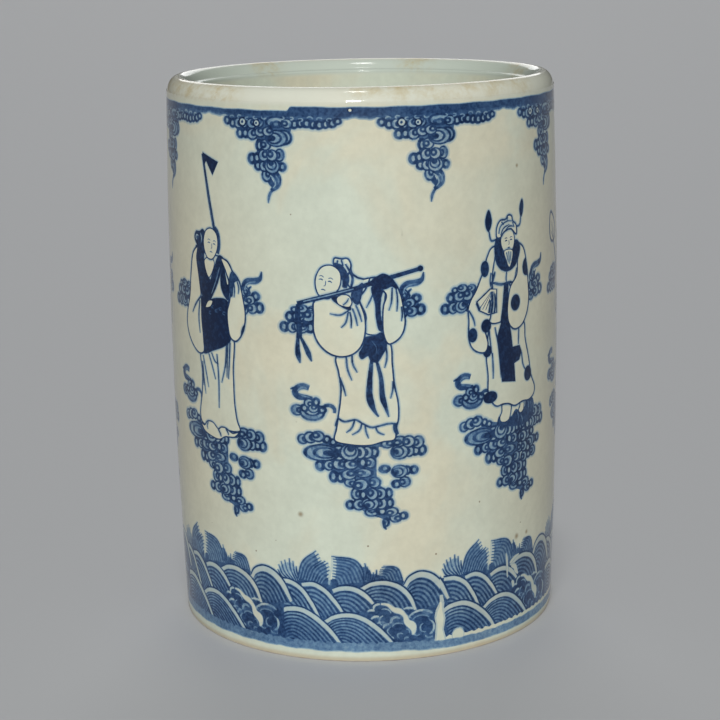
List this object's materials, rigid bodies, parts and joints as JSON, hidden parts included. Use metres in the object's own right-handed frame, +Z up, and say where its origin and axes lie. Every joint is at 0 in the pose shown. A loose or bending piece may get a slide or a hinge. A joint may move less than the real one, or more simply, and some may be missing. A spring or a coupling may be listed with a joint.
{
  "type": "brush holder pot",
  "caption": "Tall cylindrical porcelain pot with a thick rolled lip, a deep round well and a flat foot ring, for standing writing brushes in.",
  "frame": {"origin": "centre of the foot ring's resting plane, on the pot's axis", "axes": "+Z up along the pot's axis, -Y towards the side that the picture shows"},
  "size_m": [0.1276, 0.1276, 0.178],
  "materials": {
    "glazed_porcelain": "glossy transparent glaze over greyish white porcelain",
    "cobalt_painting": "cobalt blue painted on the porcelain, under the same glossy glaze"
  },
  "bodies": {
    "root": {"pot_body": "glazed_porcelain"}
  },
  "joints": []
}
